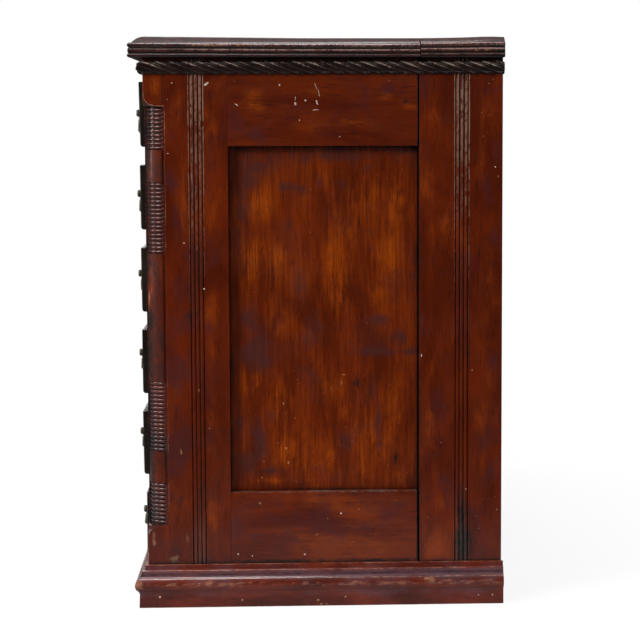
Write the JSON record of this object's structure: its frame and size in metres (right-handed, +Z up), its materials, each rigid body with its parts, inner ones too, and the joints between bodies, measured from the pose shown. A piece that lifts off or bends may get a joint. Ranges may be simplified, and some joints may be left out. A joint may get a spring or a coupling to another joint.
{
  "type": "spool cabinet",
  "caption": "Tabletop spool cabinet in red stained wood with ribbed corner columns, rope moulding, sunk side panels and shallow sliding drawers with cast bail pulls.",
  "frame": {"origin": "on the floor under the middle of the whole object's box", "axes": "+Z up, the drawers face -Y, +X is the pictured side"},
  "size_m": [0.6226, 0.3658, 0.56],
  "materials": {
    "mahogany": "aged red-brown stain under shellac, worn at the edges",
    "panel_mahogany": "aged orange-brown stain with dark blotches, under shellac",
    "dark_mahogany": "nearly black-brown stain under shellac, rubbed on the beads",
    "ebonised_front": "ebonised, satin",
    "drawer_poplar": "bare wood, darkened by handling",
    "pine_inside": "bare sawn wood, aged",
    "aged_bronze": "dark cast bronze, rubbed bright on the high points",
    "iron": "dull iron wood screws"
  },
  "bodies": {
    "carcass": {"front_post_right": "mahogany", "front_post_left": "mahogany", "back_stile_right": "mahogany", "back_stile_left": "mahogany", "side_rails_right": "mahogany", "side_rails_left": "mahogany", "side_panel_right": "panel_mahogany", "side_panel_left": "panel_mahogany", "front_rails": "dark_mahogany", "drawer_runners": "pine_inside", "back_boards": "pine_inside", "bottom_board": "pine_inside", "glue_blocks": "pine_inside", "top_screws": "iron", "top_front_board": "dark_mahogany", "top_back_board": "dark_mahogany", "rope_mouldings": "dark_mahogany", "base_mouldings": "mahogany"},
    "drawer_1": {"drawer_1_front": "ebonised_front", "drawer_1_sides": "drawer_poplar", "drawer_1_back": "drawer_poplar", "drawer_1_bottom": "drawer_poplar", "drawer_1_pull_plates": "aged_bronze"},
    "bail_1_left": {"drawer_1_bail_left": "aged_bronze"},
    "bail_1_right": {"drawer_1_bail_right": "aged_bronze"},
    "drawer_2": {"drawer_2_front": "ebonised_front", "drawer_2_sides": "drawer_poplar", "drawer_2_back": "drawer_poplar", "drawer_2_bottom": "drawer_poplar", "drawer_2_pull_plates": "aged_bronze"},
    "bail_2_left": {"drawer_2_bail_left": "aged_bronze"},
    "bail_2_right": {"drawer_2_bail_right": "aged_bronze"},
    "drawer_3": {"drawer_3_front": "ebonised_front", "drawer_3_sides": "drawer_poplar", "drawer_3_back": "drawer_poplar", "drawer_3_bottom": "drawer_poplar", "drawer_3_pull_plates": "aged_bronze"},
    "bail_3_left": {"drawer_3_bail_left": "aged_bronze"},
    "bail_3_right": {"drawer_3_bail_right": "aged_bronze"},
    "drawer_4": {"drawer_4_front": "ebonised_front", "drawer_4_sides": "drawer_poplar", "drawer_4_back": "drawer_poplar", "drawer_4_bottom": "drawer_poplar", "drawer_4_pull_plates": "aged_bronze"},
    "bail_4_left": {"drawer_4_bail_left": "aged_bronze"},
    "bail_4_right": {"drawer_4_bail_right": "aged_bronze"},
    "drawer_5": {"drawer_5_front": "ebonised_front", "drawer_5_sides": "drawer_poplar", "drawer_5_back": "drawer_poplar", "drawer_5_bottom": "drawer_poplar", "drawer_5_pull_plates": "aged_bronze"},
    "bail_5_left": {"drawer_5_bail_left": "aged_bronze"},
    "bail_5_right": {"drawer_5_bail_right": "aged_bronze"},
    "drawer_6": {"drawer_6_front": "ebonised_front", "drawer_6_sides": "drawer_poplar", "drawer_6_back": "drawer_poplar", "drawer_6_bottom": "drawer_poplar", "drawer_6_pull_plates": "aged_bronze"},
    "bail_6_left": {"drawer_6_bail_left": "aged_bronze"},
    "bail_6_right": {"drawer_6_bail_right": "aged_bronze"}
  },
  "joints": [
    {"name": "drawer_1_slide", "type": "slide", "parent": "carcass", "child": "drawer_1", "axis": [0, -1, 0], "range_m": [0, 0.25]},
    {"name": "bail_1_left_swing", "type": "hinge", "parent": "drawer_1", "child": "bail_1_left", "pos_m": [-0.168, -0.179, 0.4865], "axis": [-1, 0, 0], "range_deg": [0, 90]},
    {"name": "bail_1_right_swing", "type": "hinge", "parent": "drawer_1", "child": "bail_1_right", "pos_m": [0.168, -0.179, 0.4865], "axis": [-1, 0, 0], "range_deg": [0, 90]},
    {"name": "drawer_2_slide", "type": "slide", "parent": "carcass", "child": "drawer_2", "axis": [0, -1, 0], "range_m": [0, 0.25]},
    {"name": "bail_2_left_swing", "type": "hinge", "parent": "drawer_2", "child": "bail_2_left", "pos_m": [-0.168, -0.179, 0.4047], "axis": [-1, 0, 0], "range_deg": [0, 90]},
    {"name": "bail_2_right_swing", "type": "hinge", "parent": "drawer_2", "child": "bail_2_right", "pos_m": [0.168, -0.179, 0.4047], "axis": [-1, 0, 0], "range_deg": [0, 90]},
    {"name": "drawer_3_slide", "type": "slide", "parent": "carcass", "child": "drawer_3", "axis": [0, -1, 0], "range_m": [0, 0.25]},
    {"name": "bail_3_left_swing", "type": "hinge", "parent": "drawer_3", "child": "bail_3_left", "pos_m": [-0.168, -0.179, 0.3229], "axis": [-1, 0, 0], "range_deg": [0, 90]},
    {"name": "bail_3_right_swing", "type": "hinge", "parent": "drawer_3", "child": "bail_3_right", "pos_m": [0.168, -0.179, 0.3229], "axis": [-1, 0, 0], "range_deg": [0, 90]},
    {"name": "drawer_4_slide", "type": "slide", "parent": "carcass", "child": "drawer_4", "axis": [0, -1, 0], "range_m": [0, 0.25]},
    {"name": "bail_4_left_swing", "type": "hinge", "parent": "drawer_4", "child": "bail_4_left", "pos_m": [-0.168, -0.179, 0.2411], "axis": [-1, 0, 0], "range_deg": [0, 90]},
    {"name": "bail_4_right_swing", "type": "hinge", "parent": "drawer_4", "child": "bail_4_right", "pos_m": [0.168, -0.179, 0.2411], "axis": [-1, 0, 0], "range_deg": [0, 90]},
    {"name": "drawer_5_slide", "type": "slide", "parent": "carcass", "child": "drawer_5", "axis": [0, -1, 0], "range_m": [0, 0.25]},
    {"name": "bail_5_left_swing", "type": "hinge", "parent": "drawer_5", "child": "bail_5_left", "pos_m": [-0.168, -0.179, 0.1593], "axis": [-1, 0, 0], "range_deg": [0, 90]},
    {"name": "bail_5_right_swing", "type": "hinge", "parent": "drawer_5", "child": "bail_5_right", "pos_m": [0.168, -0.179, 0.1593], "axis": [-1, 0, 0], "range_deg": [0, 90]},
    {"name": "drawer_6_slide", "type": "slide", "parent": "carcass", "child": "drawer_6", "axis": [0, -1, 0], "range_m": [0, 0.25]},
    {"name": "bail_6_left_swing", "type": "hinge", "parent": "drawer_6", "child": "bail_6_left", "pos_m": [-0.168, -0.1765, 0.0775], "axis": [-1, 0, 0], "range_deg": [0, 90]},
    {"name": "bail_6_right_swing", "type": "hinge", "parent": "drawer_6", "child": "bail_6_right", "pos_m": [0.168, -0.1765, 0.0775], "axis": [-1, 0, 0], "range_deg": [0, 90]}
  ]
}
